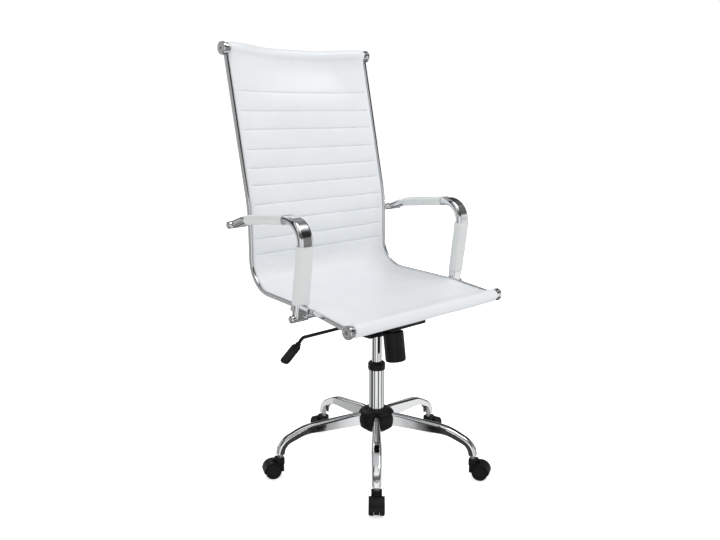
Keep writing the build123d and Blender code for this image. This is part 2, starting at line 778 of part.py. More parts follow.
def hub_sleeve():
    return ring((0, 0, HUB_LOW), (0, 0, HUB_TOP), HUB_R, COLUMN_R + FIT)


def hub_cover():
    """Domed shell over the hub, slotted for the legs."""
    neck = COLUMN_R + COLUMN_WALL
    outline = [(neck, COVER_TOP), (31, 151.5), (39, 148), (45, 140.5), (COVER_R, 130), (47, 118.5)]
    outline += [(43.5, 108.5), (38, 103), (31, 100.5), (neck, COVER_LOW)]
    outer = Spline(*[(r, 0, z) for r, z in outline])
    bore = COLUMN_R + 0.3
    corners = [(neck, COVER_LOW), (bore, COVER_LOW), (bore, COVER_TOP), (neck, COVER_TOP)]
    closing = Polyline(*[(r, 0, z) for r, z in corners])
    solid = revolve(make_face([outer, closing]), Axis.Z)
    inside = chamfer(upright(38.5, COVER_LOW + 5, COVER_TOP - 6.5).edges(), 7)
    inside += upright(HUB_R + 0.1, HUB_LOW - 0.1, HUB_TOP + 0.1)
    shell = solid - inside - upright(bore, COVER_LOW - 20, COVER_TOP + 20)
    for index in range(CASTERS):
        shell -= Rot(Z=leg_angle(index) - 90) * leg_slot()
    return shell


def leg_slot():
    """Opening in the cover, a little larger than the leg."""
    slot = box((COLUMN_R, -SLOT_HALF, SLOT_LOW), (COVER_R + CAP_R, SLOT_HALF, SLOT_TOP))
    return fillet(slot.edges().filter_by(Axis.X), 5)


def caster_socket(index):
    low = polar(STEM_AT, leg_angle(index), LEG_LOW - 2)
    high = polar(STEM_AT, leg_angle(index), SOCKET_TOP - 0.1)
    return ring(low, high, SOCKET_R, STEM_R + FIT)


# ---- casters ------------------------------------------------------------------------------------
def caster_place(index):
    """Frame of a caster: stem on its own Z axis, wheels trailing outwards along its X."""
    at = polar(STEM_AT, leg_angle(index), 0)
    return Pos(at.X, at.Y, 0) * Rot(Z=leg_angle(index) - 90)


def axle_bar(low, high, radius):
    """Round bar on the wheel axis between two places across the caster."""
    return rod((TRAIL, low, WHEEL_R), (TRAIL, high, WHEEL_R), radius)


def axle_ring(low, high, outer, inner):
    return ring((TRAIL, low, WHEEL_R), (TRAIL, high, WHEEL_R), outer, inner)


def hood():
    """Web between the wheels, block round the stem and a fender over the wheels."""
    web_half = WHEEL_GAP / 2 - HOOD_GAP
    fender_half = WHEEL_GAP / 2 + WHEEL_W
    far = 3 * WHEEL_R
    web = axle_bar(-web_half, web_half, FENDER_IN)
    web += box((-8, -web_half, 14), (TRAIL, web_half, HOOD_TOP - 1))
    web -= box((-far, -far, -5), (far, far, 8))
    fender = axle_ring(-fender_half, fender_half, FENDER_OUT, FENDER_IN)
    fender -= box((-far, -far, -far), (far, far, WHEEL_R - 2))
    fender -= box((-far, -far, 0), (-1.0, far, far))
    block = box((-9, -12.5, 36), (13, 12.5, HOOD_TOP))
    block = fillet(block.edges().filter_by(Axis.Z), 4)
    for side in (-1, 1):
        block -= axle_ring(side * web_half, side * (fender_half + 1), FENDER_IN, 1.0)
    body = web + fender + block
    body -= Solid.make_cylinder(STEM_R + 0.02, far, Plane.XY.offset(STEM_LOW - 1))
    return body - axle_bar(-far, far, AXLE_R + 0.02)


def caster_pins():
    """Stem with its collar, and the axle."""
    stem = Solid.make_cylinder(STEM_R, SOCKET_TOP - STEM_LOW - 0.5, Plane.XY.offset(STEM_LOW))
    stem += Solid.make_cylinder(STEM_COLLAR_R, 3, Plane.XY.offset(HOOD_TOP + 0.2))
    reach = WHEEL_GAP / 2 + WHEEL_W - AXLE_COVER - 0.3
    return [stem, axle_bar(-reach, reach, AXLE_R)]


def wheel(side):
    """Rounded wheel with a dished, closed outer face."""
    inner = side * WHEEL_GAP / 2
    outer = side * (WHEEL_GAP / 2 + WHEEL_W)
    tyre = axle_bar(inner, outer, WHEEL_R)
    rims = tyre.edges().group_by(Axis.Y)
    tyre = fillet(rims[-1 if side > 0 else 0], WHEEL_ROUND)
    tyre -= axle_ring(outer - side, outer + side, WHEEL_R - 7, WHEEL_R - 9)
    return tyre - axle_bar(inner - side, outer - side * AXLE_COVER, AXLE_R + FIT)


# ---- build --------------------------------------------------------------------------------------
def build_base():
    save(hub_sleeve(), "hub_sleeve")
    for index in range(CASTERS):
        save(leg(index), f"leg_{index + 1}")
    save(hub_cover(), "hub_cover")
    save([caster_socket(index) for index in range(CASTERS)], "caster_sockets")
    save(column_tube(), "column_tube")
    save(column_bush(), "column_bush")


def build_casters():
    wheels = {"wheel_left": wheel(-1), "wheel_right": wheel(1)}
    pieces = {"hood": hood(), "pins": caster_pins(), **wheels}
    for index in range(CASTERS):
        place = caster_place(index)
        for name, shape in pieces.items():
            placed = [place * s for s in shape] if isinstance(shape, list) else place * shape
            save(placed, f"caster_{index + 1}_{name}")


def build_lift():
    save(piston_rod(), "piston_rod")
    save(thrust_bearing(), "thrust_bearing")
    save(gas_cylinder(), "gas_cylinder")
    save(valve_pin(), "valve_pin")
    save(mechanism_housing(), "mechanism_housing")
    save(pivot_shaft(), "pivot_shaft")
    save(tilt_spring(), "tilt_spring")
    save(tension_screw(), "tension_screw")
    save(tension_knob(), "tension_knob")
    save(lever_bush(), "lever_bush")
    save(lever_rod(), "lever_rod")
    save(lever_paddle(), "lever_paddle")


def build_seat():
    save(seat_plate(), "seat_plate")
    save(frame_bolts(), "frame_bolts")
    save(cross_rod(FRONT_ROD, ROD_END), "cross_rod_front")
    save(cross_rod(REAR_ROD, flare(REAR_ROD_Y)), "cross_rod_rear")
    save(cross_tube(top_path(), TOP_REACH, BACK_TOP), "top_tube")
    save(cross_tube(front_path(), FRONT_REACH, SEAT_FRONT), "front_tube")
    caps, screws = [], []
    for side in (-1, 1):
        for half, centre in ((BACK_HALF, BACK_TOP), (FRONT_HALF, SEAT_FRONT)):
            cap, screw = cap_and_screw(side, half, centre)
            caps.append(cap)
            screws.append(screw)
    save(caps, "end_caps")
    save(screws, "end_cap_screws")
    save(sling(), "sling")
    fasteners = []
    for side, name in ((-1, "right"), (1, "left")):
        save(side_rail(side), f"side_rail_{name}")
        save(arm(side), f"arm_{name}")
        save(armrest_pad(side), f"armrest_pad_{name}")
        save(post_sleeve(side), f"post_sleeve_{name}")
        fasteners += [arm_stud(side), arm_screw(side), dome_cap(side, ARM_REAR), dome_cap(side, ARM_FOOT)]
    save(fasteners, "arm_fasteners")


os.makedirs("parts", exist_ok=True)
build_base()
build_casters()
build_lift()
build_seat()
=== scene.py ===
"""Looks of a high-back sling office chair: white leatherette sling, chrome frame, black plastics.

Metres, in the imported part's frame: +Z up, the sitter faces -Y, origin on the floor under the column.
"""

import json
import math

import bmesh
import bpy
import numpy as np
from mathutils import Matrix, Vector
from mathutils.noise import noise


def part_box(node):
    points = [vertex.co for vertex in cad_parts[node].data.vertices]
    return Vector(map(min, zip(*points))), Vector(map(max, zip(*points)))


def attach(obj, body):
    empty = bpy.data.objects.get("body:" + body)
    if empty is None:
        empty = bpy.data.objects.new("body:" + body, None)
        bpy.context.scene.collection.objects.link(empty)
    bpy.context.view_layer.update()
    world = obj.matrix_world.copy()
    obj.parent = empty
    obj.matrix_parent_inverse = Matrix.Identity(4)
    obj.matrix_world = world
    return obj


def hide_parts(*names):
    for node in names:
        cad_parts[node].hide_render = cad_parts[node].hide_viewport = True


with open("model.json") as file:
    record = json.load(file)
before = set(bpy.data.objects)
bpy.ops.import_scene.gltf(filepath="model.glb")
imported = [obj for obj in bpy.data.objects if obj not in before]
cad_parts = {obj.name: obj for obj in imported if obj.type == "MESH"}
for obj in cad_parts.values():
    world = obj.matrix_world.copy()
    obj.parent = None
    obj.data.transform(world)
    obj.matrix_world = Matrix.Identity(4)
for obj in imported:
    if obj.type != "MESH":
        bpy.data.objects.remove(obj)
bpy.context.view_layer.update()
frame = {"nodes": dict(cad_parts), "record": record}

# ---- sizes shared with the CAD source, in metres ------------------------------------------------
TOP_TUBE = (0.288, 1.046)
LUMBAR = (0.206, 0.660)
SEAT_BACK = (0.204, 0.470)
SEAT_MID = (-0.050, 0.455)
FRONT_TUBE = (-0.172, 0.437)
BEND_RADII = (0.300, 0.075, 0.350)
BACK_HALF = 0.2315
FRONT_HALF = 0.2535
RAIL_HALF = 0.0035
TOP_BOW = 0.034
BOW_END = 0.2268
BOW_START = 0.190
BOW_FLAT = 0.085
BOW_LINE = [
    (-BOW_END, 0.0), (-BOW_START, 0.0), (-BOW_FLAT, TOP_BOW),
    (BOW_FLAT, TOP_BOW), (BOW_START, 0.0), (BOW_END, 0.0),
]
BOW_RADII = (0.170, 0.260, 0.260, 0.170)

ARM_X = 0.270
ARM_W = 0.040
ARM_T = 0.018
ARM_REAR_BEND = (0.160, 0.6477)
ARM_ELBOW = (-0.0545, 0.668)
ARM_FOOT = (-0.024, 0.4437)

# ---- sling --------------------------------------------------------------------------------------
ROLL_R = 0.0160
SHEET_HALF = 0.0042
EDGE_HALF = 0.0026
EDGE_GAP = 0.0012
WELD_COUNT = 10
WELD_TOP = 0.946
WELD_GAP = 0.0475
WELD_GAP_LOSS = 0.00085
WELD_DEPTH = 0.0021
WELD_WIDTH = 0.0011
WELD_SHOULDER = 0.0009
SHOULDER_WIDTH = 0.0055
WELD_STEPS = (0.0, 0.0005, 0.001, 0.0016, 0.0024, 0.0036, 0.0055)
RIB_CROWN = 0.0013
BOW_REACH = 0.150
SAG = 0.005
SAG_REACH = 0.12
EDGE_TAPER = 0.007
WELD_END = 0.004
WELD_FADE = 0.014
BACK_WELD_SHARE = 0.6
ROLL_REACH = 0.055
ROLL_SWELL = 0.9917
ROLL_POWER = 2.4
ROLL_STEPS = 12
EDGE_SQUEEZE = 0.14
EDGE_CROWDING = 0.35
ROW_END = 0.0005
WAVE_HEIGHT = 0.0007
WAVES_ACROSS = 9
WAVES_ALONG = 7
WAVE_PLACE = 0.3
BOW_STEP = 0.002
CLOTH_STEP = 0.012
CLOTH_COLUMNS = 41
CLOTH_FRAMES = 40
CLOTH_SLACK = 0.0008
CLOTH_MASS = 0.01
CLOTH_STIFF = 80.0
CLOTH_BEND = 2.0
CLOTH_QUALITY = 8
CLOTH_AIR = 4.0
CLOTH_CAP = 0.006
STEP = 0.0035
COLUMNS = 96


def rounded_line(points, radii, step):
    """Points along straight runs joined by tangent arcs, about one step apart."""
    points = [np.array(p, float) for p in points]
    out = []
    last = points[0]
    for before, corner, after, radius in zip(points, points[1:], points[2:], radii):
        into = (corner - before) / np.linalg.norm(corner - before)
        away = (after - corner) / np.linalg.norm(after - corner)
        turn = math.acos(float(np.clip(into @ away, -1, 1)))
        reach = radius * math.tan(turn / 2)
        start = corner - into * reach
        inward = (away - into) / np.linalg.norm(away - into)
        centre = corner + inward * radius / math.cos(turn / 2)
        out += list(run(last, start, step))
        count = max(2, int(radius * turn / step))
        first = start - centre
        side = into * radius
        for i in range(count):
            angle = turn * i / count
            out.append(centre + first * math.cos(angle) + side * math.sin(angle))
        last = corner + away * reach
    out += list(run(last, points[-1], step))
    out.append(points[-1])
    return np.array(out)


def run(start, end, step):
    """Points from start up to but not including end."""
    length = np.linalg.norm(end - start)
    count = max(1, int(length / step))
    return [start + (end - start) * i / count for i in range(count)]


def smooth(x):
    """0 to 1 with flat ends."""
    x = min(max(float(x), 0.0), 1.0)
    return x * x * (3 - 2 * x)


def bell(distance, width):
    """1 at no distance, falling off smoothly over a width."""
    return math.exp(-((distance / width) ** 2))


def half_width(y):
    """Half width of the sling between the rails."""
    along = np.clip((SEAT_BACK[0] - y) / (SEAT_BACK[0] - FRONT_TUBE[0]), 0, 1)
    return BACK_HALF + (FRONT_HALF - BACK_HALF) * along - RAIL_HALF - EDGE_GAP


def weld_height(i):
    """Height of a weld, counted from the top: each gap is a little smaller than the one above it."""
    return WELD_TOP - i * WELD_GAP + WELD_GAP_LOSS * i * (i - 1) / 2


class Band:
    """The sling's centre line from the front tube to the top tube, with its welds and its bow."""

    def __init__(self):
        self.line = rounded_line([FRONT_TUBE, SEAT_MID, SEAT_BACK, LUMBAR, TOP_TUBE], BEND_RADII, STEP)
        steps = np.linalg.norm(np.diff(self.line, axis=0), axis=1)
        self.along = np.concatenate([[0], np.cumsum(steps)])
        self.total = self.along[-1]
        tangent = np.gradient(self.line, self.along, axis=0)
        tangent /= np.linalg.norm(tangent, axis=1)[:, None]
        self.normal = np.stack([-tangent[:, 1], tangent[:, 0]], axis=1)
        index = np.where(self.line[:, 0] > LUMBAR[0] - 0.05)[0]
        heights = [weld_height(i) for i in range(WELD_COUNT)]
        places = [self.along[index[np.argmin(abs(self.line[index, 1] - z))]] for z in heights]
        self.welds = np.array(sorted(places))
        self.bow_points = rounded_line(BOW_LINE, BOW_RADII, BOW_STEP)
        lean = math.atan2(TOP_TUBE[0] - LUMBAR[0], TOP_TUBE[1] - LUMBAR[1])
        self.bow_way = np.array([math.cos(lean), -math.sin(lean)])
        self.settled = None

    def at(self, s):
        """Centre line and normal at a distance along the line."""
        place = [np.interp(s, self.along, self.line[:, k]) for k in (0, 1)]
        normal = [np.interp(s, self.along, self.normal[:, k]) for k in (0, 1)]
        return np.array(place), np.array(normal)

    def bow(self, x, s):
        """How far the top is bowed away from the sitter."""
        depth = np.interp(x, self.bow_points[:, 0], self.bow_points[:, 1])
        return float(depth) * smooth(1 - (self.total - s) / BOW_REACH)

    def sag(self, v, s):
        """How far the settled sheet lies below the straight one."""
        if self.settled is None:
            return SAG * smooth(min(s, self.total - s) / SAG_REACH) * (1 - v * v)
        rows, columns = self.settled.shape
        row = min(max(s / self.total, 0.0), 1.0) * (rows - 1)
        column = (v + 1) / 2 * (columns - 1)
        r, c = min(int(row), rows - 2), min(int(column), columns - 2)
        fr, fc = row - r, column - c
        near = self.settled[r, c] * (1 - fc) + self.settled[r, c + 1] * fc
        far = self.settled[r + 1, c] * (1 - fc) + self.settled[r + 1, c + 1] * fc
        return near * (1 - fr) + far * fr


def settle(band):
    """Cloth simulation of a coarse sheet held round its rim: depths of the settled sheet."""
    rows = int(band.total / CLOTH_STEP) + 1
    across = np.linspace(-1, 1, CLOTH_COLUMNS)
    rest, ways = [], []
    for s in np.linspace(0, band.total, rows):
        place, normal = band.at(s)
        rest += [(v * half_width(place[0]), *place) for v in across]
        ways += [(0, *normal)] * CLOTH_COLUMNS
    quads = []
    for r in range(rows - 1):
        for c in range(CLOTH_COLUMNS - 1):
            low, high = r * CLOTH_COLUMNS + c, (r + 1) * CLOTH_COLUMNS + c
            quads.append((low, low + 1, high + 1, high))
    mesh = bpy.data.meshes.new("sheet")
    mesh.from_pydata(rest, [], quads)
    sheet = bpy.data.objects.new("sheet", mesh)
    bpy.context.scene.collection.objects.link(sheet)
    rim = sheet.vertex_groups.new(name="rim")
    for index in range(len(rest)):
        r, c = divmod(index, CLOTH_COLUMNS)
        if r in (0, rows - 1) or c in (0, CLOTH_COLUMNS - 1):
            rim.add([index], 1.0, "REPLACE")
    cloth = sheet.modifiers.new("cloth", "CLOTH")
    cloth.settings.vertex_group_mass = "rim"
    cloth.settings.quality = CLOTH_QUALITY
    cloth.settings.mass = CLOTH_MASS
    cloth.settings.tension_stiffness = CLOTH_STIFF
    cloth.settings.compression_stiffness = CLOTH_STIFF
    cloth.settings.shear_stiffness = CLOTH_STIFF
    cloth.settings.bending_stiffness = CLOTH_BEND
    cloth.settings.shrink_min = -CLOTH_SLACK
    cloth.settings.air_damping = CLOTH_AIR
    scene = bpy.context.scene
    for step in range(1, CLOTH_FRAMES + 1):
        scene.frame_set(step)
    settled = sheet.evaluated_get(bpy.context.evaluated_depsgraph_get())
    moved = np.array([v.co for v in settled.data.vertices]) - np.array(rest)
    scene.frame_set(1)
    bpy.data.objects.remove(sheet)
    depths = -np.sum(moved * np.array(ways), axis=1).reshape(rows, CLOTH_COLUMNS)
    return np.tanh(depths / CLOTH_CAP) * CLOTH_CAP


def sling_mesh():
    """Closed skin: front face, roll over the top tube, back face, roll under the front tube."""
    band = Band()
    band.settled = settle(band)
    loop = outline(row_places(band), band.total)
    columns = column_places()
    verts = [sling_point(v, s, offset, face, band) for v in columns for s, offset, face in loop]
    rows = len(loop)
    faces = []
    for c in range(len(columns) - 1):
        for r in range(rows):
            n = (r + 1) % rows
            faces.append((c * rows + r, c * rows + n, (c + 1) * rows + n, (c + 1) * rows + r))
    faces.append(tuple(range(rows)))
    last = (len(columns) - 1) * rows
    faces.append(tuple(last + r for r in reversed(range(rows))))
    return verts, faces


def column_places():
    """Places across the width from -1 to 1, closer together at the edges."""
    places = np.linspace(-1, 1, COLUMNS + 1)
    return np.sin(places * math.pi / 2) * EDGE_CROWDING + places * (1 - EDGE_CROWDING)


def row_places(band):
    """Distances along the line, with extra ones close to each weld."""
    clear = WELD_STEPS[-1] * 1.2
    inner = [s for s in band.along if ROW_END < s < band.total - ROW_END]
    places = [s for s in inner if min(abs(band.welds - s)) > clear]
    for weld in band.welds:
        places += [weld + sign * step for step in WELD_STEPS[1:] for sign in (-1, 1)] + [weld]
    return sorted(places)


def outline(inner, total):
    """Loop of (distance along the line, offset from it, face); face is 1 in front and -1 behind."""
    front = [(s, cover(s, total), 1) for s in inner]
    behind = [(s, -cover(s, total), -1) for s in reversed(inner)]
    return front + roll(total, math.pi / 2) + behind + roll(0.0, -math.pi / 2)


def roll(middle, first):
    """Half turn round a cross tube, from an angle on."""
    angles = [first - math.pi * i / ROLL_STEPS for i in range(ROLL_STEPS + 1)]
    return [(middle + ROLL_R * math.cos(angle), ROLL_R * math.sin(angle), 0) for angle in angles]


def cover(s, total):
    """Half thickness: the sheet's, swelling in a tangent to the roll at each tube."""
    d = min(s, total - s)
    if d >= ROLL_REACH:
        return SHEET_HALF
    swell = (ROLL_R - SHEET_HALF) * (1 - d / ROLL_REACH) ** ROLL_POWER
    circle = math.sqrt(max(0.0, ROLL_R**2 - d**2))
    return max(SHEET_HALF + swell * ROLL_SWELL, circle)


def sling_point(v, s, offset, face, band):
    """Place of one point of the skin."""
    s_in = min(max(s, 0.0), band.total)
    place, n = band.at(s_in)
    along = np.array([n[1], -n[0]])
    half = half_width(place[0])
    x = v * half
    edge = (1 - abs(v)) * half
    if face:
        beyond = 0.0
        thick = EDGE_HALF + (abs(offset) - EDGE_HALF) * smooth(edge / EDGE_TAPER)
        offset = face * (thick + rib(s, edge, band.welds, face))
    else:
        squeeze = 1 - EDGE_SQUEEZE + EDGE_SQUEEZE * smooth(edge / EDGE_TAPER)
        beyond = (s - s_in) * squeeze
        offset *= squeeze
    place = place + n * (offset - band.sag(v, s_in) + uneven(x, s_in)) + along * beyond
    place = place + band.bow_way * band.bow(x, s_in)
    return Vector((x, place[0], place[1]))


def rib(s, edge, welds, face):
    """Weld grooves across the back, and a soft crown between two of them."""
    gap = float(np.min(abs(welds - s)))
    share = 1.0 if face > 0 else BACK_WELD_SHARE
    groove = WELD_DEPTH * bell(gap, WELD_WIDTH) + WELD_SHOULDER * bell(gap, SHOULDER_WIDTH)
    crown = 0.0
    if welds[0] < s < welds[-1]:
        index = int(np.searchsorted(welds, s))
        middle = (s - welds[index - 1]) / (welds[index] - welds[index - 1])
        crown = RIB_CROWN * (1 - (2 * middle - 1) ** 2)
    return (crown - share * groove) * smooth((edge - WELD_END) / WELD_FADE)


def uneven(x, s):
    """Slow unevenness of the leatherette."""
    return noise(Vector((x * WAVES_ACROSS, s * WAVES_ALONG, WAVE_PLACE))) * WAVE_HEIGHT


def make_object(name, verts, faces, material, body, replaced):
    """Smooth mesh piece that rides on a body in place of CAD nodes."""
    mesh = bpy.data.meshes.new(name)
    mesh.from_pydata([tuple(p) for p in verts], [], faces)
    mesh.validate()
    tidy = bmesh.new()
    tidy.from_mesh(mesh)
    bmesh.ops.recalc_face_normals(tidy, faces=tidy.faces)
    tidy.to_mesh(mesh)
    tidy.free()
    for polygon in mesh.polygons:
        polygon.use_smooth = True
    piece = bpy.data.objects.new(name, mesh)
    bpy.context.scene.collection.objects.link(piece)
    mesh.materials.append(material)
    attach(piece, body)
    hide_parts(*replaced)
    return piece


# ---- arm covers ---------------------------------------------------------------------------------
SLEEVE_OUT = 0.0021
RIM_SHRINK = 0.6
AROUND = 64
CORNER_FLAT = 0.0006
LOOP_STEP = 0.003
TUCK_IN = 0.0004
TUCK_OUT = 0.0002
HEM_RISE = 0.0007
HEM_PLACE = 0.0035
HEM_WIDTH = 0.0022
END_DIP = 0.0006
END_WIDTH = 0.0012
RIPPLE_HEIGHT = 0.00055
RIPPLES_AROUND = 1.4
RIPPLES_ALONG = 26
SEAM_DEPTH = 0.0007
SEAM_PLACE = 0.006
SEAM_WIDTH = 0.0016
PAD_SEED = 3.0
POST_SEED = 8.0


def arm_ring(grow):
    """Flat-oval outline across the arm: (x, n) offsets from the arm's centre line."""
    half_w = ARM_W / 2 + grow
    half_t = ARM_T / 2 + grow
    radius = half_t - CORNER_FLAT
    out = []
    for i in range(AROUND):
        angle = 2 * math.pi * (i + 0.5) / AROUND
        cx = (half_w - radius) * (1 if math.cos(angle) > 0 else -1)
        cz = (half_t - radius) * (1 if math.sin(angle) > 0 else -1)
        out.append((cx + radius * math.cos(angle), cz + radius * math.sin(angle)))
    return out


def sleeve_mesh(side, start, end, seed):
    """Leather sleeve along a straight stretch of the arm, with rolled ends and a stitched seam."""
    start, end = np.array(start), np.array(end)
    length = float(np.linalg.norm(end - start))
    way = (end - start) / length
    n = np.array([-way[1], way[0]])
    steps = int(length / LOOP_STEP)
    verts, faces, loops = [], [], []

    def add_loop(d, grow, wrinkle):
        loop = []
        for k, (px, pn) in enumerate(arm_ring(grow)):
            angle = 2 * math.pi * k / AROUND
            turn = Vector((math.cos(angle) * RIPPLES_AROUND + seed, math.sin(angle) * RIPPLES_AROUND, 0))
            ripple = noise(turn + Vector((0, 0, d * RIPPLES_ALONG))) * RIPPLE_HEIGHT
            seam = -SEAM_DEPTH * bell(px - SEAM_PLACE * side, SEAM_WIDTH) * (pn < 0)
            scale = 1 + (ripple * wrinkle + seam * wrinkle) / (ARM_T / 2)
            centre = start + way * d
            y, z = centre + n * pn * scale
            loop.append(len(verts))
            verts.append((side * ARM_X + px * (1 + ripple * wrinkle / (ARM_W / 2)), y, z))
        loops.append(loop)

    add_loop(TUCK_IN, TUCK_OUT, 0.0)
    add_loop(0.0, SLEEVE_OUT * RIM_SHRINK, 0.0)
    for i in range(steps + 1):
        d = length * i / steps
        near = min(d, length - d)
        hem = HEM_RISE * bell(near - HEM_PLACE, HEM_WIDTH)
        add_loop(d, SLEEVE_OUT + hem - END_DIP * bell(near, END_WIDTH), 1.0)
    add_loop(length, SLEEVE_OUT * RIM_SHRINK, 0.0)
    add_loop(length - TUCK_IN, TUCK_OUT, 0.0)
    for a, b in zip(loops, loops[1:] + loops[:1]):
        for k in range(AROUND):
            m = (k + 1) % AROUND
            faces.append((a[k], a[m], b[m], b[k]))
    return verts, faces


def on_line(start, end, value, axis):
    """Point of a straight line where one of its coordinates has a value."""
    fraction = (value - start[axis]) / (end[axis] - start[axis])
    return tuple(a + (b - a) * fraction for a, b in zip(start, end))


def arm_cover(name, node, side, start, end, seed, material):
    """One sleeve on an arm in place of its CAD solid."""
    verts, faces = sleeve_mesh(side, start, end, seed + side)
    return make_object(name, verts, faces, material, "seat", [node])


def arm_covers(material):
    """Armrest pad and post sleeve on each arm, as long as their CAD solids."""
    for side, name in ((-1, "right"), (1, "left")):
        low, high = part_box(f"armrest_pad_{name}")
        rear = on_line(ARM_REAR_BEND, ARM_ELBOW, high.y, 0)
        front = on_line(ARM_REAR_BEND, ARM_ELBOW, low.y, 0)
        pad = arm_cover(f"pad_cover_{name}", f"armrest_pad_{name}", side, rear, front, PAD_SEED, material)
        low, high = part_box(f"post_sleeve_{name}")
        upper = on_line(ARM_ELBOW, ARM_FOOT, high.z, 1)
        lower = on_line(ARM_ELBOW, ARM_FOOT, low.z, 1)
        post = arm_cover(f"post_cover_{name}", f"post_sleeve_{name}", side, upper, lower, POST_SEED, material)


# ---- materials ----------------------------------------------------------------------------------
def new_material(name, color, roughness, metallic=0.0):
    """Material and its main shader."""
    material = bpy.data.materials.new(name)
    material.use_nodes = True
    shader = material.node_tree.nodes["Principled BSDF"]
    shader.inputs["Base Color"].default_value = (*color, 1)
    shader.inputs["Roughness"].default_value = roughness
    shader.inputs["Metallic"].default_value = metallic
    return material, shader


def add(material, kind):
    """New node of a kind."""
    return material.node_tree.nodes.new(kind)


def link(material, output, socket):
    """Join an output to a socket."""
    material.node_tree.links.new(output, socket)


def object_coords(material):
    """Coordinates in metres that stay with the piece."""
    return add(material, "ShaderNodeTexCoord").outputs["Object"]


def noise_node(material, scale, detail):
    """Soft random pattern; scale is its repeats in a metre."""
    node = add(material, "ShaderNodeTexNoise")
    node.inputs["Scale"].default_value = scale
    node.inputs["Detail"].default_value = detail
    link(material, object_coords(material), node.inputs["Vector"])
    return node


def map_range(material, value, low, high):
    """A value from 0 to 1 brought between two others."""
    node = add(material, "ShaderNodeMapRange")
    node.inputs["To Min"].default_value = low
    node.inputs["To Max"].default_value = high
    link(material, value, node.inputs["Value"])
    return node.outputs["Result"]


def tint(material, shader, value, first, second):
    """Colour that drifts between two tones."""
    ramp = add(material, "ShaderNodeValToRGB")
    ramp.color_ramp.elements[0].color = (*first, 1)
    ramp.color_ramp.elements[1].color = (*second, 1)
    ramp.color_ramp.elements[0].position = 0.3
    ramp.color_ramp.elements[1].position = 0.7
    link(material, value, ramp.inputs["Fac"])
    link(material, ramp.outputs["Color"], shader.inputs["Base Color"])


def bump(material, shader, height, strength, distance, before=None):
    """Fine relief; before is the relief that it lies on."""
    node = add(material, "ShaderNodeBump")
    node.inputs["Strength"].default_value = strength
    node.inputs["Distance"].default_value = distance
    link(material, height, node.inputs["Height"])
    if before is not None:
        link(material, before, node.inputs["Normal"])
    link(material, node.outputs["Normal"], shader.inputs["Normal"])
    return node.outputs["Normal"]


def leatherette(name, dark, pale):
    """White coated cloth: pebble grain a millimetre across, faint mottling, soft sheen."""
    material, shader = new_material(name, pale, 0.4)
    shader.inputs["Coat Weight"].default_value = 0.12
    shader.inputs["Coat Roughness"].default_value = 0.3
    shader.inputs["Specular IOR Level"].default_value = 0.4
    cells = add(material, "ShaderNodeTexVoronoi")
    cells.feature = "SMOOTH_F1"
    cells.inputs["Scale"].default_value = 700.0
    link(material, object_coords(material), cells.inputs["Vector"])
    slow = noise_node(material, 14.0, 3.0)
    fine = noise_node(material, 420.0, 2.0)
    tint(material, shader, slow.outputs["Fac"], dark, pale)
    link(material, map_range(material, fine.outputs["Fac"], 0.34, 0.48), shader.inputs["Roughness"])
    grain = bump(material, shader, cells.outputs["Distance"], 0.16, 0.0004)
    bump(material, shader, slow.outputs["Fac"], 0.12, 0.004, grain)
    return material


def chrome(name):
    """Bright plate with the faint waviness of bent tube and light handling marks."""
    material, shader = new_material(name, (0.78, 0.79, 0.80), 0.07, 1.0)
    marks = noise_node(material, 55.0, 4.0)
    waves = noise_node(material, 22.0, 1.0)
    link(material, map_range(material, marks.outputs["Fac"], 0.035, 0.11), shader.inputs["Roughness"])
    bump(material, shader, waves.outputs["Fac"], 0.1, 0.001)
    return material


def metal(name, color, low, high, scale):
    """Bare or zinc-plated steel with fine turning marks, its roughness between low and high."""
    material, shader = new_material(name, color, high, 1.0)
    marks = noise_node(material, scale, 4.0)
    link(material, map_range(material, marks.outputs["Fac"], low, high), shader.inputs["Roughness"])
    bump(material, shader, marks.outputs["Fac"], 0.08, 0.0004)
    return material


def black(name, color, low, high, grain, strength):
    """Moulded or coated black with a fine grain, its roughness between low and high."""
    material, shader = new_material(name, color, high)
    shader.inputs["Specular IOR Level"].default_value = 0.22
    fine = noise_node(material, grain, 3.0)
    slow = noise_node(material, 30.0, 3.0)
    lighter = tuple(c * 1.5 for c in color)
    tint(material, shader, slow.outputs["Fac"], color, lighter)
    link(material, map_range(material, slow.outputs["Fac"], low, high), shader.inputs["Roughness"])
    bump(material, shader, fine.outputs["Fac"], strength, 0.0003)
    return material


def paint_nodes():
    """One material for each slot of the record."""
    looks = {
        "chrome_frame": chrome("chrome_frame"),
        "bright_steel": metal("bright_steel", (0.56, 0.57, 0.58), 0.2, 0.34, 160.0),
        "caster_steel": metal("caster_steel", (0.5, 0.51, 0.52), 0.25, 0.4, 160.0),
        "black_paint": black("black_paint", (0.006, 0.006, 0.0068), 0.3, 0.42, 900.0, 0.2),
        "black_plastic": black("black_plastic", (0.005, 0.005, 0.0056), 0.34, 0.46, 1100.0, 0.25),
        "wheel_plastic": black("wheel_plastic", (0.006, 0.006, 0.006), 0.42, 0.55, 1100.0, 0.25),
        "white_leatherette": leatherette("white_leatherette", (0.8, 0.826, 0.85), (0.825, 0.85, 0.872)),
        "white_sleeves": leatherette("white_sleeves", (0.71, 0.735, 0.73), (0.74, 0.765, 0.76)),
    }
    for part in frame["record"]["subparts"]:
        node = frame["nodes"][part["node"]]
        node.data.materials.clear()
        node.data.materials.append(looks[part["material_slot"]])
    return looks


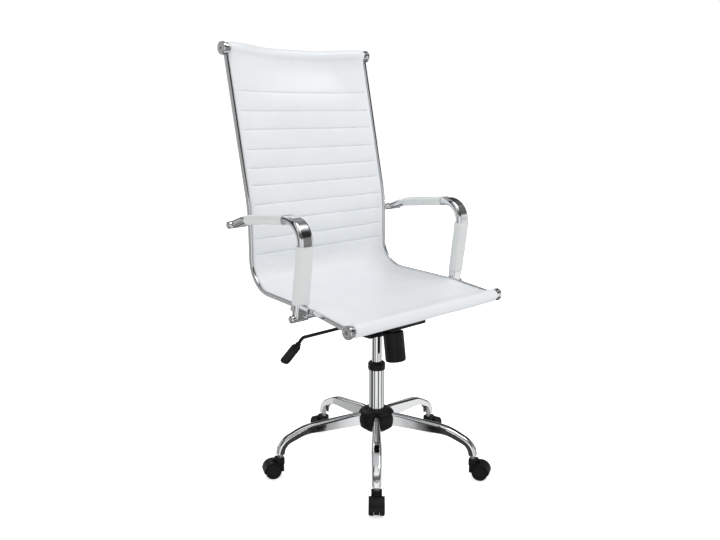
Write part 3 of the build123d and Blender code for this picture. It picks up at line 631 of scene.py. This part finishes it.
# ---- studio -------------------------------------------------------------------------------------
CAMERA_LENS = 40
CAMERA_SENSOR = 36
CAMERA_NEAR = 0.05
CAMERA_FAR = 60
CAMERA_TURN = -45.3
CAMERA_REACH = 1.942
CAMERA_HEIGHT = 0.9009
CAMERA_YAW = -44.058
CAMERA_DOWN = 11.336
FLOOR_HALF = 14.0
FLOOR_GLOW = 0.14
FLOOR_SEEN_GLOW = 0.6
# brightness that gloss reflects, as (place from 0 to 1, level): up the room, and once round it
ROOM_HEIGHTS = (
    (0.0, 0.5), (0.2, 0.4), (0.28, 0.95), (0.5, 1.0), (0.58, 1.0),
    (0.64, 0.12), (0.78, 0.16), (0.86, 1.0), (1.0, 0.8),
)
ROOM_PANELS = (
    (0.0, 0.9), (0.022, 0.9), (0.0265, 0.05), (0.056, 0.05), (0.075, 0.95), (0.12, 1.0), (0.17, 0.95),
    (0.19, 0.05), (0.2235, 0.05), (0.228, 0.95), (0.3, 0.95), (0.345, 0.25), (0.38, 0.18), (0.4, 0.95),
    (0.45, 0.9), (0.48, 0.2), (0.62, 0.4), (0.7, 0.15), (0.8, 0.85), (0.84, 0.4), (0.9, 0.26), (0.93, 0.04),
    (0.97, 0.04), (0.99, 0.9),
)
ROOM_LIGHT = 1.1
SOFT_LIGHT = 0.74
WHITE_LIGHT = 1.05
LAMP_AIM = Vector((0, 0, 0.6))


def studio():
    """Pale floor, three soft lamps and the surround; the floor looks a little brighter than it lights."""
    mesh = bpy.data.meshes.new("floor")
    corners = [(x * FLOOR_HALF, y * FLOOR_HALF, 0) for x, y in ((-1, -1), (1, -1), (1, 1), (-1, 1))]
    mesh.from_pydata(corners, [], [(0, 1, 2, 3)])
    floor = bpy.data.objects.new("floor", mesh)
    bpy.context.scene.collection.objects.link(floor)
    material, shader = new_material("floor", (0.9, 0.9, 0.9), 0.8)
    grain = noise_node(material, 3.0, 2.0)
    tint(material, shader, grain.outputs["Fac"], (0.895, 0.895, 0.895), (0.905, 0.905, 0.905))
    shader.inputs["Specular IOR Level"].default_value = 0.1
    shader.inputs["Emission Color"].default_value = (1, 1, 1, 1)
    path = add(material, "ShaderNodeLightPath")
    glow = map_range(material, path.outputs["Is Camera Ray"], FLOOR_GLOW, FLOOR_SEEN_GLOW)
    link(material, glow, shader.inputs["Emission Strength"])
    mesh.materials.append(material)
    floor.visible_glossy = False
    area_light("key", (1.8, -1.8, 5.2), 2.6, 92)
    area_light("left", (-2.6, -0.4, 2.0), 1.2, 3)
    area_light("back", (0.6, 2.6, 2.4), 1.6, 10)
    world_light()


def area_light(name, place, size, power):
    """Square lamp that faces the chair."""
    data = bpy.data.lights.new(name, "AREA")
    data.size = size
    data.energy = power
    lamp = bpy.data.objects.new(name, data)
    lamp.location = place
    lamp.rotation_euler = (LAMP_AIM - Vector(place)).to_track_quat("-Z", "Y").to_euler()
    bpy.context.scene.collection.objects.link(lamp)


def world_light():
    """Even pale surround; glossy rays see a dim room with bright panels, so that chrome has contrast."""
    world = bpy.data.worlds.new("studio")
    bpy.context.scene.world = world
    world.use_nodes = True
    nodes, links = world.node_tree.nodes, world.node_tree.links
    nodes.clear()
    coords = nodes.new("ShaderNodeTexCoord")
    split = nodes.new("ShaderNodeSeparateXYZ")
    links.new(coords.outputs["Generated"], split.inputs["Vector"])
    raised = nodes.new("ShaderNodeMapRange")
    raised.inputs["From Min"].default_value = -1.0
    links.new(split.outputs["Z"], raised.inputs["Value"])
    heights = nodes.new("ShaderNodeValToRGB")
    links.new(raised.outputs["Result"], heights.inputs["Fac"])
    set_ramp(heights, ROOM_HEIGHTS)
    around = nodes.new("ShaderNodeTexGradient")
    around.gradient_type = "RADIAL"
    links.new(coords.outputs["Generated"], around.inputs["Vector"])
    panels = nodes.new("ShaderNodeValToRGB")
    links.new(around.outputs["Fac"], panels.inputs["Fac"])
    set_ramp(panels, ROOM_PANELS)
    both = nodes.new("ShaderNodeMix")
    both.data_type = "RGBA"
    both.blend_type = "MULTIPLY"
    both.inputs["Factor"].default_value = 1.0
    links.new(heights.outputs["Color"], both.inputs["A"])
    links.new(panels.outputs["Color"], both.inputs["B"])
    room = background(nodes, ROOM_LIGHT)
    links.new(both.outputs["Result"], room.inputs["Color"])
    soft = background(nodes, SOFT_LIGHT)
    white = background(nodes, WHITE_LIGHT)
    path = nodes.new("ShaderNodeLightPath")
    glossy = nodes.new("ShaderNodeMixShader")
    links.new(path.outputs["Is Glossy Ray"], glossy.inputs["Fac"])
    links.new(soft.outputs["Background"], glossy.inputs[1])
    links.new(room.outputs["Background"], glossy.inputs[2])
    seen = nodes.new("ShaderNodeMixShader")
    links.new(path.outputs["Is Camera Ray"], seen.inputs["Fac"])
    links.new(glossy.outputs["Shader"], seen.inputs[1])
    links.new(white.outputs["Background"], seen.inputs[2])
    out = nodes.new("ShaderNodeOutputWorld")
    links.new(seen.outputs["Shader"], out.inputs["Surface"])


def background(nodes, strength):
    """Plain white background of a strength."""
    node = nodes.new("ShaderNodeBackground")
    node.inputs["Color"].default_value = (1, 1, 1, 1)
    node.inputs["Strength"].default_value = strength
    return node


def set_ramp(node, stops):
    """Grey colour ramp from (position, level) stops."""
    ramp = node.color_ramp
    ramp.interpolation = "EASE"
    while len(ramp.elements) < len(stops):
        ramp.elements.new(0.5)
    for element, (position, _) in zip(ramp.elements, stops):
        element.position = position
    for element, (_, level) in zip(ramp.elements, stops):
        element.color = (level, level, level, 1)


def make_camera():
    """Camera in front of the chair, to the sitter's right."""
    data = bpy.data.cameras.new("camera")
    data.lens = CAMERA_LENS
    data.sensor_width = CAMERA_SENSOR
    data.clip_start = CAMERA_NEAR
    data.clip_end = CAMERA_FAR
    camera = bpy.data.objects.new("camera", data)
    bpy.context.scene.collection.objects.link(camera)
    turn = math.radians(CAMERA_TURN)
    camera.location = (math.sin(turn) * CAMERA_REACH, -math.cos(turn) * CAMERA_REACH, CAMERA_HEIGHT)
    camera.rotation_euler = (math.radians(90 - CAMERA_DOWN), 0, math.radians(CAMERA_YAW))
    bpy.context.scene.camera = camera


def sling_cover(material):
    """Seat and back in one skin."""
    verts, faces = sling_mesh()
    return make_object("sling_cover", verts, faces, material, "seat", ["sling"])


looks = paint_nodes()
sling = sling_cover(looks["white_leatherette"])
arm_covers(looks["white_sleeves"])
studio()
make_camera()
bpy.context.scene.view_settings.view_transform = "Standard"
